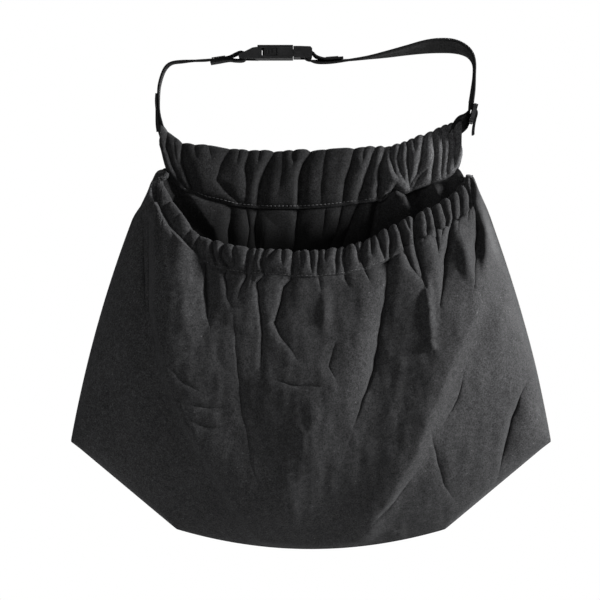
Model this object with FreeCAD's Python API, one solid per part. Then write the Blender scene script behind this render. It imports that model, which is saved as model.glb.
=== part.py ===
"""Waist pouch with a gathered waistband, an elastic mouth and a webbing belt with a side-release buckle.

Units are millimetres. +X is the wearer's left as seen from the front, +Y points to the wearer and +Z is up.
The origin is on the rear face of the waistband, at the middle of its height, where it rests on the waist.
The pouch hangs below the waistband. The belt stands above it in the X-Z plane, laid up as in storage,
and swings back about its two exits to go round the waist.
"""

import FreeCAD
import Part

import math
import os

V = FreeCAD.Vector
X_AXIS, Y_AXIS, Z_AXIS = V(1, 0, 0), V(0, 1, 0), V(0, 0, 1)

# Pouch outline, right half, in the X-Z plane
SIDE_TOP = (130.0, 1.2)
SIDE_MID = (165.5, -96.0)
SIDE_LOW = (193.0, -211.0)
CORNER_LOW = (108.0, -282.0)
BOTTOM_Z = -298.0
PANEL = 2.0  # thickness of a cloth panel's solid
BODY_GAP = 0.3  # clearance between the moving front and the fixed back
BULGE = 74.0  # how far the front panel stands out in front
BULGE_Z = -161.0  # height of the fullest part

# Waistband: a flat sleeve between two arcs
BAND_END_TOP = (121.5, 46.0)
BAND_END_LOW = (117.0, 8.2)
BAND_MID_TOP = 22.8
BAND_MID_LOW = -22.8
BAND_DEEP = 7.0
SLEEVE_WALL = 1.4

# Mouth: the elastic rim follows an arc in a plane that leans forward
RIM_END = (126.0, -14.5, -3.0)
RIM_LOW = (0.0, -60.0, -69.0)
RIM_HALF_TALL = 11.0
RIM_HALF_DEEP = 5.0
ELASTIC_WIDE = 12.0
ELASTIC_THICK = 1.2

# Belt
WEB_WIDE = 25.0
WEB_THICK = 1.6
BELT_Y = -3.5  # middle of the webbing's width
BELT_FOOT_Z = 33.0  # lowest point of the belt beside the waistband's ends
THREAD_R = 0.4

# Side-release buckle, along X at height BUCKLE_Z
BUCKLE_Z = 102.2
HOUSING_X = (-43.0, -14.4)
HOUSING_HALF_WIDE = 17.0
HOUSING_HALF_TALL = 5.5
CAVITY_HALF_WIDE = 14.2
CAVITY_HALF_TALL = 3.4
CAVITY_END_X = -40.8
WINDOW_X = (-39.7, -27.0)
WINDOW_HALF_TALL = 3.0
BAR_R = 2.2
HOUSING_BAR = (-56.0, 99.1)
PLUG_X = (-14.1, -8.5)
PLUG_HALF_WIDE = 16.5
PLUG_HALF_TALL = 4.6
PLUG_BAR = (-1.2, 99.6)
RAIL_Y = 13.4  # inner faces of the rails beside the webbing
GUIDE_TIP_X = -37.0
GUIDE_HALF = (4.2, 2.6)
LATCH_PIVOT = (-15.9, 11.0)
LATCH_HALF_TALL = 2.7

# Belt slider
SLIDER_LONG = 16.0
SLIDER_WIDE = 32.0
SLIDER_THICK = 3.2
SLIDER_BAR = 2.6
SLIDER_SLOT_WIDE = 26.8
SLIDER_AT = (130.8, 53.0)
SLIDER_LEAN = 15.5  # degrees from upright, towards +X


def save(node, shape):
    """Writes one sub-part, and stops on a solid that is not sound."""
    if not shape.isValid() or shape.Volume <= 0:
        raise ValueError(node + " is not a valid solid")
    shape.exportStep("parts/" + node + ".step")
    box = shape.BoundBox
    print(node, len(shape.Solids), "solids", round(shape.Volume), "mm3", box)


def box(x0, x1, y0, y1, z0, z1):
    return Part.makeBox(x1 - x0, y1 - y0, z1 - z0, V(x0, y0, z0))


def xz(point, y=0.0):
    return V(point[0], y, point[1])


def line(a, b):
    return Part.LineSegment(a, b).toShape()


def arc(a, b, c):
    return Part.Arc(a, b, c).toShape()


def slab(edges, y0, y1):
    """A closed outline in the X-Z plane at y0, carried to y1."""
    return Part.Face(Part.Wire(edges)).extrude(V(0, y1 - y0, 0))


def about_belt(shape):
    """The same shape on the other side of the middle of the belt's width."""
    return shape.mirror(V(0, BELT_Y, 0), Y_AXIS)


# ---------------------------------------------------------------- pouch

def outline(y, top_edges):
    """The pouch's outline as edges at depth y, closed along the top by top_edges(left, right)."""
    right = [V(x, y, z) for x, z in (SIDE_TOP, SIDE_MID, SIDE_LOW, CORNER_LOW)]
    left = [V(-p.x, y, p.z) for p in right]
    return top_edges(left[0], right[0]) + [
        arc(right[0], right[1], right[2]),
        line(right[2], right[3]),
        arc(right[3], V(0, y, BOTTOM_Z), left[3]),
        line(left[3], left[2]),
        arc(left[2], left[1], left[0]),
    ]


def band_foot_top(left, right):
    """The back panel's top edge, which follows the waistband's lower edge."""
    drop = 0.15
    a = V(-BAND_END_LOW[0], left.y, BAND_END_LOW[1] - drop)
    b = V(BAND_END_LOW[0], left.y, BAND_END_LOW[1] - drop)
    return [line(left, a), arc(a, V(0, left.y, BAND_MID_LOW - drop), b), line(b, right)]


def arc_reach(a, b, c, z):
    """The x at height z on the circular arc through three (x, z) points, for z between the outer two."""
    curve = Part.Arc(xz(a), xz(b), xz(c))
    cut = curve.toShape().common(box(-400.0, 400.0, -1.0, 1.0, z - 0.01, z + 0.01))
    return cut.BoundBox.Center.x


def half_width(z):
    """Half the pouch's width at height z."""
    if z > SIDE_LOW[1]:
        return arc_reach(SIDE_TOP, SIDE_MID, SIDE_LOW, min(z, SIDE_TOP[1] - 0.1))
    if z > CORNER_LOW[1]:
        share = (SIDE_LOW[1] - z) / (SIDE_LOW[1] - CORNER_LOW[1])
        return SIDE_LOW[0] + (CORNER_LOW[0] - SIDE_LOW[0]) * share
    return CORNER_LOW[0] * math.sqrt((z - BOTTOM_Z) / (CORNER_LOW[1] - BOTTOM_Z))


def bulge_depth(z):
    """How far the middle of the front panel stands out at height z."""
    if z < BULGE_Z:
        return BULGE * (1.0 - ((BULGE_Z - z) / (BULGE_Z - BOTTOM_Z)) ** 3.2)
    return BULGE * (1.0 - 0.36 * ((z - BULGE_Z) / (SIDE_TOP[1] - BULGE_Z)) ** 1.3)


def bulge_solid(inset):
    """The room inside the front panel, with its outer face at inset 0."""
    levels = [-297.2, -293.0, -288.0, -282.0, -268.0, -250.0, -231.0, -211.0, -186.0, -161.0]
    levels += [-135.0, -110.0, -85.0, -60.0, -35.0, -12.0, 1.0]
    back = -PANEL - BODY_GAP
    wires = []
    for level in levels:
        reach = half_width(level) - 1.6 * inset
        deep = bulge_depth(level) - inset
        if reach < 10.0 or deep < 1.0:
            continue
        curve = Part.BSplineCurve()
        steps = [i / 12.0 - 1.0 for i in range(25)]
        curve.interpolate([V(reach * u, back - deep * (1.0 - abs(u) ** 2.6), level) for u in steps])
        wires.append(Part.Wire([curve.toShape(), line(V(reach, back, level), V(-reach, back, level))]))
    if inset:
        wires[-1].translate(V(0, 0, 2.0))
    return Part.makeLoft(wires, True, True)


def rim_frame():
    """The rim's arc: centre, axis, radius, half angle, and the direction from its low point to its centre."""
    chord_mid = V(0, RIM_END[1], RIM_END[2])
    low = V(*RIM_LOW)
    sag = (chord_mid - low).Length
    radius = (RIM_END[0] ** 2 + sag ** 2) / (2.0 * sag)
    inward = (chord_mid - low).normalize()
    half_angle = math.degrees(math.asin(RIM_END[0] / radius))
    return low + inward * radius, X_AXIS.cross(inward), radius, half_angle, inward


def rim_ring(wire_at):
    """Revolves a section round the rim's arc.

    wire_at(point, outward, sideways) gives the section at the rim's lowest point.
    """
    centre, axis, _, half_angle, inward = rim_frame()
    face = Part.Face(wire_at(V(*RIM_LOW), inward * -1.0, axis))
    face.rotate(centre, axis, -half_angle)
    return face.revolve(centre, axis, 2.0 * half_angle)


def oval_section(half_tall, half_deep):
    def wire_at(point, outward, sideways):
        ellipse = Part.Ellipse(point + outward * half_tall, point + sideways * half_deep, point)
        return Part.Wire(ellipse.toShape())
    return wire_at


def flat_section(half_tall, half_deep):
    def wire_at(point, outward, sideways):
        tall, deep = outward * half_tall, sideways * half_deep
        corners = [point + tall + deep, point + tall - deep, point - tall - deep, point - tall + deep]
        return Part.makePolygon(corners + corners[:1])
    return wire_at


def round_section(offset_out, offset_sideways, radius):
    def wire_at(point, outward, sideways):
        middle = point + outward * offset_out + sideways * offset_sideways
        return Part.Wire(Part.Circle(middle, outward.cross(sideways), radius).toShape())
    return wire_at


def back_panel():
    return slab(outline(-PANEL, band_foot_top), -PANEL, 0.0)


def front_panel():
    """The bulged cloth, cut away above the rim."""
    cloth = bulge_solid(0.0).cut(bulge_solid(PANEL))
    centre, axis, radius, _, _ = rim_frame()
    above = Part.makeCylinder(radius, 400.0, centre - axis * 200.0, axis)
    over = box(-200.0, 200.0, -150.0, 10.0, RIM_END[2], 60.0)
    cloth = cloth.cut(above).cut(over).cut(rim_ring(oval_section(RIM_HALF_TALL, RIM_HALF_DEEP)))
    cloth = cloth.cut(rim_ring(stitch_section(2.0 * THREAD_R)))
    # The cut leaves slivers beside the rim, and the largest solid is the panel
    solids = sorted(cloth.Solids, key=lambda solid: solid.Volume)
    return solids[-1]


def rim_casing():
    outer = rim_ring(oval_section(RIM_HALF_TALL, RIM_HALF_DEEP))
    return outer.cut(rim_ring(oval_section(RIM_HALF_TALL - SLEEVE_WALL, RIM_HALF_DEEP - SLEEVE_WALL)))


def rim_elastic():
    return rim_ring(flat_section(ELASTIC_WIDE / 2.0, ELASTIC_THICK / 2.0))


def stitch_section(radius):
    """Where the rim's stitch line runs: low on the front of the casing, just proud of it."""
    out = RIM_HALF_TALL * math.cos(math.radians(40.0))
    forward = RIM_HALF_DEEP * math.sin(math.radians(40.0))
    return round_section(out + 0.7, forward + 0.9, radius)


def rim_stitching():
    return rim_ring(stitch_section(THREAD_R))


# ---------------------------------------------------------------- waistband

def band_outline(y, inset, past_ends):
    """The waistband between its two arcs at depth y.

    inset narrows it, and past_ends carries it beyond its ends.
    """
    top_x, low_x = BAND_END_TOP[0] + past_ends, BAND_END_LOW[0] + past_ends
    top_z, low_z = BAND_END_TOP[1] - inset, BAND_END_LOW[1] + inset
    return [
        arc(V(-top_x, y, top_z), V(0, y, BAND_MID_TOP - inset), V(top_x, y, top_z)),
        line(V(top_x, y, top_z), V(low_x, y, low_z)),
        arc(V(low_x, y, low_z), V(0, y, BAND_MID_LOW + inset), V(-low_x, y, low_z)),
        line(V(-low_x, y, low_z), V(-top_x, y, top_z)),
    ]


def waistband_casing():
    sleeve = slab(band_outline(-BAND_DEEP, 0.0, 0.0), -BAND_DEEP, 0.0)
    front_y = SLEEVE_WALL - BAND_DEEP
    hollow = slab(band_outline(front_y, SLEEVE_WALL, 6.0), front_y, -SLEEVE_WALL)
    return sleeve.cut(hollow)


def waistband_webbing():
    """The stretch of belt inside the waistband."""
    margin = (BAND_MID_TOP - BAND_MID_LOW - WEB_WIDE) / 2.0
    y = BELT_Y - WEB_THICK / 2.0
    return slab(band_outline(y, margin, -1.0), y, y + WEB_THICK)


def waistband_stitching():
    """One row of thread along the waistband's lower edge, on its front face."""
    lift, y = 2.5, -BAND_DEEP - THREAD_R - 0.1
    ends = V(-BAND_END_LOW[0] + 1.0, y, BAND_END_LOW[1] + lift)
    middle = V(0, y, BAND_MID_LOW + lift)
    path = Part.Wire([arc(ends, middle, V(-ends.x, y, ends.z))])
    tangent = path.Edges[0].tangentAt(path.Edges[0].FirstParameter)
    ring = Part.Wire(Part.Circle(ends, tangent, THREAD_R).toShape())
    return path.makePipeShell([ring], True, True)


# ---------------------------------------------------------------- belt

def strip(points, wide, thick, middle_y=BELT_Y):
    """Webbing on edge: its width along Y, its centre line a smooth curve through points (x, z)."""
    curve = Part.BSplineCurve()
    curve.interpolate([xz(p) for p in points])
    count = 6 * len(points)
    sides = [[], []]
    for i in range(count + 1):
        u = curve.FirstParameter + (curve.LastParameter - curve.FirstParameter) * i / count
        tangent = curve.tangent(u)[0]
        normal = V(tangent.z, 0, -tangent.x)
        for side, offset in ((0, thick / 2.0), (1, -thick / 2.0)):
            sides[side].append(curve.value(u) + normal * offset)
    edges = []
    for side in sides:
        edge = Part.BSplineCurve()
        edge.interpolate(side)
        edges.append(edge.toShape())
    edges.append(line(sides[0][0], sides[1][0]))
    edges.append(line(sides[0][-1], sides[1][-1]))
    face = Part.Face(Part.Wire(Part.sortEdges(edges)[0]))
    face.translate(V(0, middle_y - wide / 2.0, 0))
    return face.extrude(V(0, wide, 0))


LOOP_R = BAR_R + 0.3 + WEB_THICK / 2.0
LEFT_RUN = [
    (-122.9, BELT_FOOT_Z), (-123.0, 47.0), (-122.9, 63.0), (-121.9, 75.0), (-119.0, 85.2),
    (-113.0, 92.4), (-103.0, 94.6), (-93.0, 95.0), (-84.0, 95.9), (-75.0, 97.2), (-66.0, 98.5),
    (-61.0, 100.6),
]
RIGHT_RUN = [
    (122.9, BELT_FOOT_Z), (123.1, 42.0), (125.4, 52.0), (128.2, 62.0), (130.6, 74.0), (131.6, 85.0),
    (130.6, 96.2), (125.0, 103.8), (115.0, 107.6), (103.0, 108.6), (90.0, 107.4), (76.0, 104.4),
    (60.0, 101.2), (44.0, 98.2), (28.0, 96.2), (14.0, 94.8), (5.0, 94.6),
]


def belt_left_webbing():
    """From beside the waistband up to the buckle housing, round its bar and folded back under itself."""
    x, z = HOUSING_BAR
    loop = [
        (x, z + LOOP_R), (x + 0.72 * LOOP_R, z + 0.72 * LOOP_R), (x + LOOP_R, z),
        (x + 0.72 * LOOP_R, z - 0.72 * LOOP_R), (x, z - LOOP_R),
    ]
    fold = [(x - 5.0, z - LOOP_R + 0.1), (x - 10.0, z - LOOP_R + 0.45), (-75.0, 95.1), (-81.0, 94.2)]
    return strip(LEFT_RUN + loop + fold, WEB_WIDE, WEB_THICK)


def belt_right_webbing():
    """From beside the waistband up to the plug, round its bar and folded back over itself."""
    x, z = PLUG_BAR
    loop = [
        (x + 0.5, z - LOOP_R), (x - 0.72 * LOOP_R, z - 0.72 * LOOP_R), (x - LOOP_R, z),
        (x - 0.72 * LOOP_R, z + 0.72 * LOOP_R), (x, z + LOOP_R), (x + 0.8 * LOOP_R, z + 0.6 * LOOP_R),
    ]
    fold = [(x + 5.6, z - 1.2), (x + 12.0, 97.0), (x + 20.0, 97.5), (x + 27.0, 98.2)]
    return strip(RIGHT_RUN + loop + fold, WEB_WIDE, WEB_THICK)


def belt_left_lap():
    """The waistband's webbing where it comes out and is sewn to the outside of the belt."""
    out = WEB_THICK + BODY_GAP
    run = [(-122.9 - out, 34.0), (-123.0 - out, 47.0), (-122.9 - out, 63.0), (-122.6 - out, 69.0)]
    return strip(run, WEB_WIDE, WEB_THICK)


def box_stitch(x0, x1, z, slope):
    """A sewn rectangle with crossed diagonals, on webbing at height z that climbs at slope degrees."""
    half, bar, thick = 8.5, 0.8, 0.5
    y0, y1 = BELT_Y - half, BELT_Y + half
    inside = box(x0 + bar, x1 - bar, y0 + bar, y1 - bar, z - 1.0, z + 1.0)
    shape = box(x0, x1, y0, y1, z, z + thick).cut(inside)
    middle = V((x0 + x1) / 2.0, BELT_Y, z)
    lean = math.degrees(math.atan2(y1 - y0, x1 - x0))
    reach = math.hypot(x1 - x0, y1 - y0) / 2.0 - bar
    for angle in (lean, -lean):
        diagonal = box(-reach, reach, -bar / 2.0, bar / 2.0, 0.0, thick)
        diagonal.rotate(V(0, 0, 0), Z_AXIS, angle)
        diagonal.translate(middle)
        shape = shape.fuse(diagonal)
    shape = shape.removeSplitter()
    shape.rotate(middle, Y_AXIS, -slope)
    return shape


# ---------------------------------------------------------------- buckle

def beside_belt(half):
    """The two Y values that lie half to each side of the belt's middle."""
    return BELT_Y - half, BELT_Y + half


def side_rail(profile, half_wide):
    """One side rail that holds a webbing bar: an X-Z profile, from beside the webbing out to half_wide."""
    corners = [xz(point, BELT_Y + RAIL_Y) for point in profile]
    return Part.Face(Part.makePolygon(corners + corners[:1])).extrude(V(0, half_wide - RAIL_Y, 0))


def buckle_housing():
    y0, y1 = beside_belt(HOUSING_HALF_WIDE)
    z0, z1 = BUCKLE_Z - HOUSING_HALF_TALL, BUCKLE_Z + HOUSING_HALF_TALL
    shell = box(HOUSING_X[0], HOUSING_X[1], y0, y1, z0, z1)
    long_edges = [e for e in shell.Edges if abs(e.tangentAt(e.FirstParameter).x) > 0.9]
    shell = shell.makeFillet(2.4, long_edges)
    y2, y3 = beside_belt(CAVITY_HALF_WIDE)
    z2, z3 = BUCKLE_Z - CAVITY_HALF_TALL, BUCKLE_Z + CAVITY_HALF_TALL
    shell = shell.cut(box(CAVITY_END_X, HOUSING_X[1] + 1.0, y2, y3, z2, z3))
    z2, z3 = BUCKLE_Z - WINDOW_HALF_TALL, BUCKLE_Z + WINDOW_HALF_TALL
    shell = shell.cut(box(WINDOW_X[0], WINDOW_X[1], y0 - 1.0, y1 + 1.0, z2, z3))
    bar_x, bar_z = HOUSING_BAR
    profile = [
        (HOUSING_X[0] + 0.5, z0), (HOUSING_X[0] + 0.5, z1 - 1.5), (-47.0, z1 - 2.2),
        (bar_x + 0.5, bar_z + BAR_R), (bar_x, bar_z - BAR_R),
    ]
    rail = side_rail(profile, HOUSING_HALF_WIDE)
    bar = Part.makeCylinder(BAR_R, 2.0 * HOUSING_HALF_WIDE, V(bar_x, y0, bar_z), Y_AXIS)
    end_wall = box(HOUSING_X[0] - 1.6, HOUSING_X[0] + 0.5, y0, y1, z0, z1 - 2.0)
    return shell.fuse([rail, about_belt(rail), bar, end_wall]).removeSplitter()


def buckle_plug():
    y0, y1 = beside_belt(PLUG_HALF_WIDE)
    z0, z1 = BUCKLE_Z - PLUG_HALF_TALL, BUCKLE_Z + PLUG_HALF_TALL
    block = box(PLUG_X[0], PLUG_X[1], y0, y1, z0, z1)
    bar_x, bar_z = PLUG_BAR
    profile = [
        (PLUG_X[1] - 0.5, z0), (PLUG_X[1] - 0.5, z1), (bar_x + 0.8, z1 - 0.3), (bar_x + BAR_R, z1 - 1.8),
        (bar_x + BAR_R, bar_z), (bar_x, bar_z - BAR_R),
    ]
    rail = side_rail(profile, PLUG_HALF_WIDE)
    bar = Part.makeCylinder(BAR_R, 2.0 * PLUG_HALF_WIDE, V(bar_x, y0, bar_z), Y_AXIS)
    half_y, half_z = GUIDE_HALF
    root_x, shoulder_x, tip_half = PLUG_X[0] + 0.5, GUIDE_TIP_X + 6.0, 0.55 * half_z
    side = [
        (root_x, BUCKLE_Z - half_z), (root_x, BUCKLE_Z + half_z), (shoulder_x, BUCKLE_Z + half_z),
        (GUIDE_TIP_X, BUCKLE_Z + tip_half), (GUIDE_TIP_X, BUCKLE_Z - tip_half),
        (shoulder_x, BUCKLE_Z - half_z),
    ]
    corners = [xz(point, BELT_Y - half_y) for point in side]
    guide = Part.Face(Part.makePolygon(corners + corners[:1])).extrude(V(0, 2.0 * half_y, 0))
    return block.fuse([rail, about_belt(rail), bar, guide]).removeSplitter()


def latch_arm():
    """The sprung arm on the +Y side: a round root, a thin arm and a head that fills the window."""
    root_x, root_y = LATCH_PIVOT
    z0 = BUCKLE_Z - LATCH_HALF_TALL
    plan = [
        (root_x, root_y - 1.1), (-28.2, 11.0), (-37.6, 9.4), (-39.0, 10.2), (-38.4, 15.4), (-36.6, 16.8),
        (-27.7, 16.8), (-27.7, 13.2), (root_x, root_y + 1.1),
    ]
    corners = [V(x, BELT_Y + y, z0) for x, y in plan]
    head = Part.Face(Part.makePolygon(corners + corners[:1])).extrude(V(0, 0, 2.0 * LATCH_HALF_TALL))
    root = Part.makeCylinder(1.4, 2.0 * LATCH_HALF_TALL, V(root_x, BELT_Y + root_y, z0), Z_AXIS)
    arm = head.fuse(root).removeSplitter()
    for step in range(3):  # grip ribs on the head's outer face
        x = -35.6 + 2.6 * step
        rib = box(x, x + 1.1, BELT_Y + 16.4, BELT_Y + 17.2, z0 + 0.9, z0 + 2.0 * LATCH_HALF_TALL - 0.9)
        arm = arm.fuse(rib)
    return arm.removeSplitter()


# ---------------------------------------------------------------- slider

def on_slider(shape):
    """Puts a shape drawn with its length along Z and its outer face towards +X onto the belt."""
    shape.rotate(V(0, 0, 0), Y_AXIS, SLIDER_LEAN)
    shape.translate(V(SLIDER_AT[0], BELT_Y, SLIDER_AT[1]))
    return shape


def belt_slider():
    half_long, half_wide, half_thick = SLIDER_LONG / 2.0, SLIDER_WIDE / 2.0, SLIDER_THICK / 2.0
    plate = box(-half_thick, half_thick, -half_wide, half_wide, -half_long, half_long)
    corners = [e for e in plate.Edges if abs(e.tangentAt(e.FirstParameter).x) > 0.9]
    plate = plate.makeFillet(3.0, corners)
    slot_half = SLIDER_SLOT_WIDE / 2.0
    for z0 in (SLIDER_BAR / 2.0, SLIDER_BAR - half_long):
        z1 = z0 + half_long - 1.5 * SLIDER_BAR
        plate = plate.cut(box(-half_thick - 1.0, half_thick + 1.0, -slot_half, slot_half, z0, z1))
    return on_slider(plate)


def belt_tail():
    """The belt's free end, up through the slider's upper slot, over its middle bar and down outside."""
    run = [
        (-2.7, 9.0), (-2.6, 6.2), (-1.6, 4.1), (0.0, 3.35), (1.6, 2.6), (2.6, 0.6), (2.75, -3.0),
        (3.0, -8.0), (4.6, -16.5),
    ]
    return on_slider(strip(run, WEB_WIDE, 1.4, 0.0))


def main():
    os.makedirs("parts", exist_ok=True)
    save("back_panel", back_panel())
    save("front_panel", front_panel())
    save("rim_casing", rim_casing())
    save("rim_elastic", rim_elastic())
    save("rim_stitching", rim_stitching())
    save("waistband_casing", waistband_casing())
    save("waistband_webbing", waistband_webbing())
    save("waistband_stitching", waistband_stitching())
    save("belt_left_webbing", belt_left_webbing())
    save("belt_left_lap", belt_left_lap())
    save("belt_left_box_stitch", box_stitch(-80.0, -69.0, 98.3, 8.3))
    save("belt_right_webbing", belt_right_webbing())
    save("belt_right_box_stitch", box_stitch(12.0, 22.0, 98.35, 4.2))
    save("buckle_housing", buckle_housing())
    save("buckle_plug", buckle_plug())
    save("latch_arm_back", latch_arm())
    save("latch_arm_front", about_belt(latch_arm()))
    save("belt_slider", belt_slider())
    save("belt_tail", belt_tail())


main()
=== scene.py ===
import math

import bmesh
import bpy
import numpy as np
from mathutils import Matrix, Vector


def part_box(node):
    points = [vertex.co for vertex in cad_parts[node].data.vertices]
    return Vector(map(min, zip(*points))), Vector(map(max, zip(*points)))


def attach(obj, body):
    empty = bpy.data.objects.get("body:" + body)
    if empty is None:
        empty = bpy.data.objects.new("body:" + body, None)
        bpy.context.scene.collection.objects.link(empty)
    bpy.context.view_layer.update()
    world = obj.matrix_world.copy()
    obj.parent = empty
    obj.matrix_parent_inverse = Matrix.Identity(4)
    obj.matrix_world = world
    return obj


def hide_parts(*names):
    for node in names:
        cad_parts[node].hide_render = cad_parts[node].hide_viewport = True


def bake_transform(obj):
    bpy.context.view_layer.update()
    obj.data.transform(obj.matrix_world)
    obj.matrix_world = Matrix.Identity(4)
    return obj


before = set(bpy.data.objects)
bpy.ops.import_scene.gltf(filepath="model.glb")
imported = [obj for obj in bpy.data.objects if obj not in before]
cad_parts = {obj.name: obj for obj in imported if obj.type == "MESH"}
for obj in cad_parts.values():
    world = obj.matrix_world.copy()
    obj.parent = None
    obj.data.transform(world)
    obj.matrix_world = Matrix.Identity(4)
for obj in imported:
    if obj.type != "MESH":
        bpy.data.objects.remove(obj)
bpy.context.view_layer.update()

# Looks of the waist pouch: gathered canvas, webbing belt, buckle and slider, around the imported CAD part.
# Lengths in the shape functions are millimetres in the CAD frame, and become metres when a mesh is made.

MM = 0.001
WHITE = (1.0, 1.0, 1.0, 1.0)


def cad_mm(node):
    """A CAD node's lowest and highest corners, in millimetres."""
    low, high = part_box(node)
    return np.array(low) / MM, np.array(high) / MM


def new_object(name, data, location=(0.0, 0.0, 0.0)):
    thing = bpy.data.objects.new(name, data)
    thing.location = location
    bpy.context.collection.objects.link(thing)
    return thing


class Tree:
    """The node tree of a material or world, with short ways to add nodes to it."""

    def __init__(self, owner):
        owner.use_nodes = True
        self.owner = owner
        self.nodes = owner.node_tree.nodes
        self.links = owner.node_tree.links

    def feed(self, socket, value):
        """value is another node's output, or a number, vector or colour."""
        if isinstance(value, bpy.types.NodeSocket):
            self.links.new(value, socket)
        else:
            socket.default_value = value

    def fill(self, node, **inputs):
        """Feeds a node's inputs by name, where underscores stand for spaces."""
        for key, value in inputs.items():
            self.feed(node.inputs[key.replace("_", " ")], value)
        return node

    def add(self, kind, **inputs):
        return self.fill(self.nodes.new("ShaderNode" + kind), **inputs)

    def look(self, **inputs):
        """Feeds the material's main shader."""
        self.fill(self.nodes["Principled BSDF"], **inputs)

    def maths(self, operation, a, b=0.0):
        node = self.nodes.new("ShaderNodeMath")
        node.operation = operation
        for socket, value in zip(node.inputs, (a, b)):
            self.feed(socket, value)
        return node.outputs["Value"]

    def noise(self, where, scale, detail, rough):
        node = self.add("TexNoise", Vector=where, Scale=scale, Detail=detail, Roughness=rough)
        return node.outputs["Fac"]

    def spread(self, value, low, high, to_low, to_high):
        """Maps low and high to to_low and to_high, and holds them beyond."""
        node = self.add("MapRange", Value=value, From_Min=low, From_Max=high, To_Min=to_low, To_Max=to_high)
        return node.outputs["Result"]

    def scaled(self, tone, value, low, high, to_low, to_high):
        """tone times a spread of value."""
        return self.maths("MULTIPLY", tone, self.spread(value, low, high, to_low, to_high))

    def tinted(self, value, tint):
        """A colour: tint scaled by value."""
        node = self.nodes.new("ShaderNodeMix")
        node.data_type = "RGBA"
        node.blend_type = "MULTIPLY"
        return self.fill(node, Factor=1.0, A=(*tint, 1.0), B=value).outputs["Result"]

    def split(self, vector):
        return self.add("SeparateXYZ", Vector=vector).outputs

    def bands(self, uv, axis, pitch):
        """Threads as rounded bands along one UV axis, pitch in metres."""
        turn = self.maths("MULTIPLY", self.split(uv)[axis], 2.0 * math.pi / pitch)
        return self.maths("SINE", turn)

    def bump(self, height, strength, distance):
        node = self.add("Bump", Height=height, Strength=strength, Distance=distance)
        self.look(Normal=node.outputs["Normal"])


# ---- camera, light and floor

SENSOR_WIDE = 36.0
VIEW_ACROSS = 0.480
VIEW_CENTRE = (-0.0088, -0.03, -0.0972)
CAMERA_AWAY = 3.2
SKY_TINT, SKY_STRENGTH = (0.97, 0.98, 1.0, 1.0), 0.07
FLOOR_Z = -0.75
FLOOR_REACH = 3.2
FLOOR_TINT, FLOOR_GLOW = (0.35, 0.35, 0.35, 1.0), 0.93
LAMP_AIM = Vector((0.0, -0.03, -0.12))
LAMPS = [
    # name, azimuth and elevation in degrees, distance and size in metres, power in watts
    ("key", 77.0, 14.0, 1.9, 0.35, 92.0),
    ("front", -14.0, 26.0, 2.4, 0.9, 6.5),
    ("left", -66.0, 12.0, 2.3, 0.9, 6.8),
    ("rear", 146.0, 30.0, 2.4, 0.9, 95.0),
]


def make_camera():
    camera = bpy.data.cameras.new("camera")
    camera.sensor_width = SENSOR_WIDE
    camera.lens = SENSOR_WIDE * CAMERA_AWAY / VIEW_ACROSS
    camera.clip_end = 20.0
    camera.dof.use_dof = False
    x, y, z = VIEW_CENTRE
    holder = new_object("camera", camera, (x, y - CAMERA_AWAY, z))
    holder.rotation_euler = (math.radians(90.0), 0.0, 0.0)
    bpy.context.scene.camera = holder


def make_light(name, azimuth, elevation, away, size, power):
    """A soft square lamp. Azimuth 0 is in front of the pouch and 90 is at its right."""
    lamp = bpy.data.lights.new(name, "AREA")
    lamp.shape = "SQUARE"
    lamp.size = size
    lamp.energy = power
    a, e = math.radians(azimuth), math.radians(elevation)
    offset = Vector((math.sin(a) * math.cos(e), -math.cos(a) * math.cos(e), math.sin(e))) * away
    holder = new_object(name, lamp, LAMP_AIM + offset)
    holder.rotation_euler = offset.to_track_quat("Z", "Y").to_euler()


def make_world():
    """The camera sees plain white, and the pouch is lit by a dim, slightly blue sky."""
    world = bpy.data.worlds.new("studio")
    tree = Tree(world)
    tree.nodes.clear()
    lit = tree.add("Background", Color=SKY_TINT, Strength=SKY_STRENGTH)
    seen = tree.add("Background", Color=WHITE, Strength=1.0)
    mix = tree.add("MixShader", Fac=tree.add("LightPath").outputs["Is Camera Ray"])
    tree.feed(mix.inputs[1], lit.outputs["Background"])
    tree.feed(mix.inputs[2], seen.outputs["Background"])
    tree.add("OutputWorld", Surface=mix.outputs["Shader"])
    bpy.context.scene.world = world
    bpy.context.scene.view_settings.view_transform = "Standard"


def make_floor():
    mesh = bpy.data.meshes.new("floor")
    disc = bmesh.new()
    bmesh.ops.create_circle(disc, cap_ends=True, segments=96, radius=FLOOR_REACH)
    disc.to_mesh(mesh)
    disc.free()
    tree = Tree(bpy.data.materials.new("floor_paper"))
    glow = tree.maths("MULTIPLY", tree.add("LightPath").outputs["Is Camera Ray"], FLOOR_GLOW)
    tree.look(Base_Color=FLOOR_TINT, Roughness=0.9, Emission_Color=WHITE, Emission_Strength=glow)
    mesh.materials.append(tree.owner)
    new_object("floor", mesh, (0.0, 0.0, FLOOR_Z))


make_camera()
make_world()
for lamp_row in LAMPS:
    make_light(*lamp_row)
make_floor()


# ---- materials

NOISE = (0.3, 0.7)  # where most of a noise texture's values lie
CANVAS_PITCH = 0.0009
# Ranges of the canvas's painted light and shade: by the way a face looks, towards the ends, and low in the
# pouch.
REARWARD = (-0.12, 0.1)  # the normal's Y, from facing forwards to facing backwards
LEFT_END, RIGHT_END = (-0.18, -0.06), (0.03, 0.112)  # X in metres
DEEP_DOWN = (-0.050, -0.020)  # Z in metres


def new_material(name):
    """A material's tree, and the place on the object as a node's output."""
    tree = Tree(bpy.data.materials.new(name))
    return tree, tree.add("TexCoord").outputs["Object"]


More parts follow.
